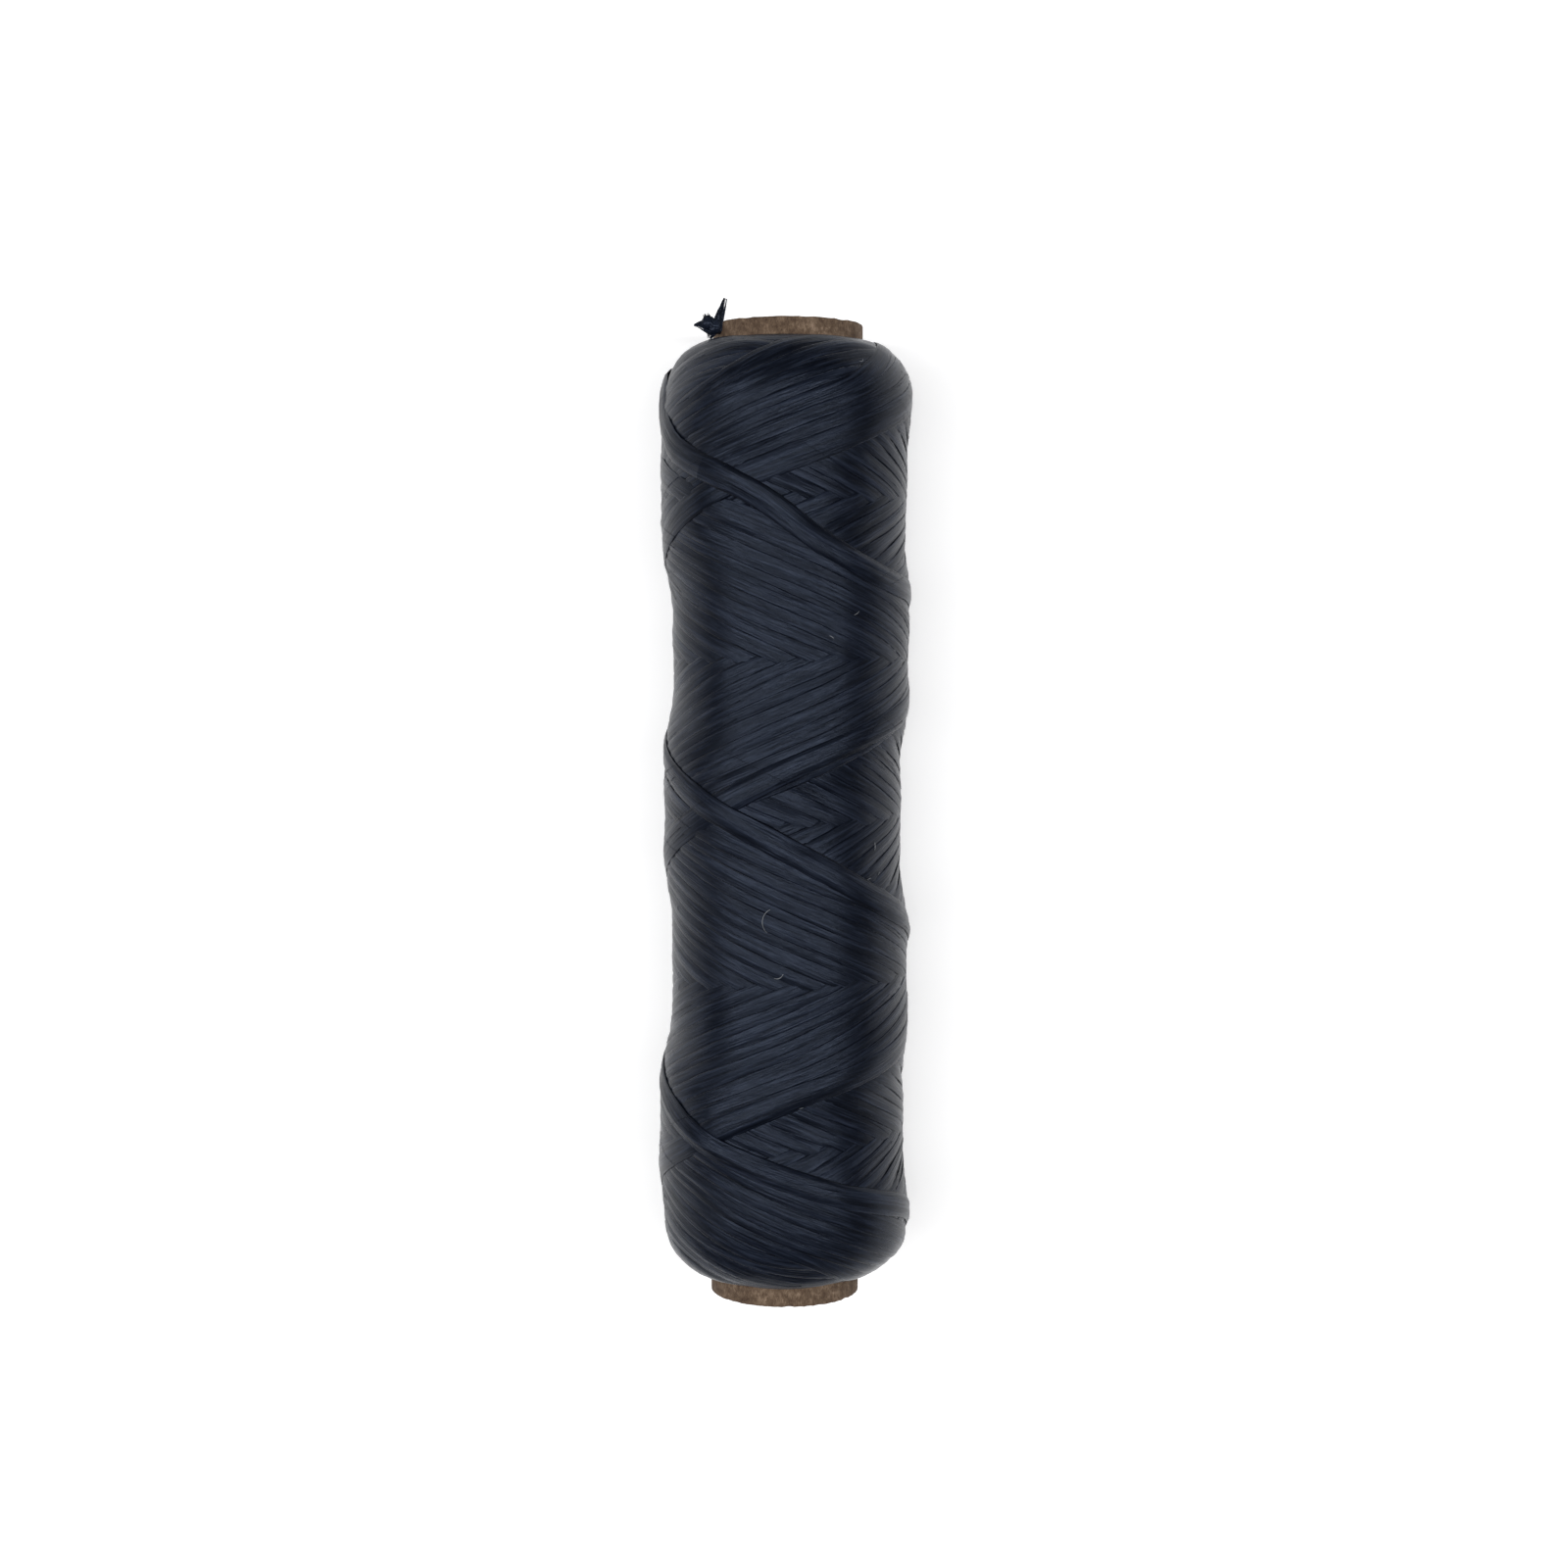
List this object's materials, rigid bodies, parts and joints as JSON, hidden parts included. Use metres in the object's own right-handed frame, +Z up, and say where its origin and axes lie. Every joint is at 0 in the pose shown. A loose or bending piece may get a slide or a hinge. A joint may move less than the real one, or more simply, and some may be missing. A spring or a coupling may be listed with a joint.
{
  "type": "waxed thread spool",
  "caption": "Paper core tube cross-wound with flat black waxed thread, its ends rounded and a short knotted tail beside the bare core.",
  "frame": {"origin": "on the ground under the middle of the core, with the spool lying on its side", "axes": "+Y along the core towards the end with the knotted tail, +Z up, +X to the right when looking along +Y"},
  "size_m": [0.0263, 0.1023, 0.0258],
  "materials": {
    "kraft_paper": "matte",
    "waxed_thread": "satin"
  },
  "bodies": {
    "root": {"core_inner_ply": "kraft_paper", "core_middle_ply": "kraft_paper", "core_outer_ply": "kraft_paper", "thread_anchor_wraps": "waxed_thread", "thread_layer_1": "waxed_thread", "thread_layer_2": "waxed_thread", "thread_layer_3": "waxed_thread", "thread_layer_4": "waxed_thread", "thread_layer_5": "waxed_thread", "thread_layer_6": "waxed_thread", "thread_last_down_stroke": "waxed_thread", "thread_last_up_stroke": "waxed_thread", "thread_slack_loop": "waxed_thread", "thread_tail": "waxed_thread"}
  },
  "joints": []
}
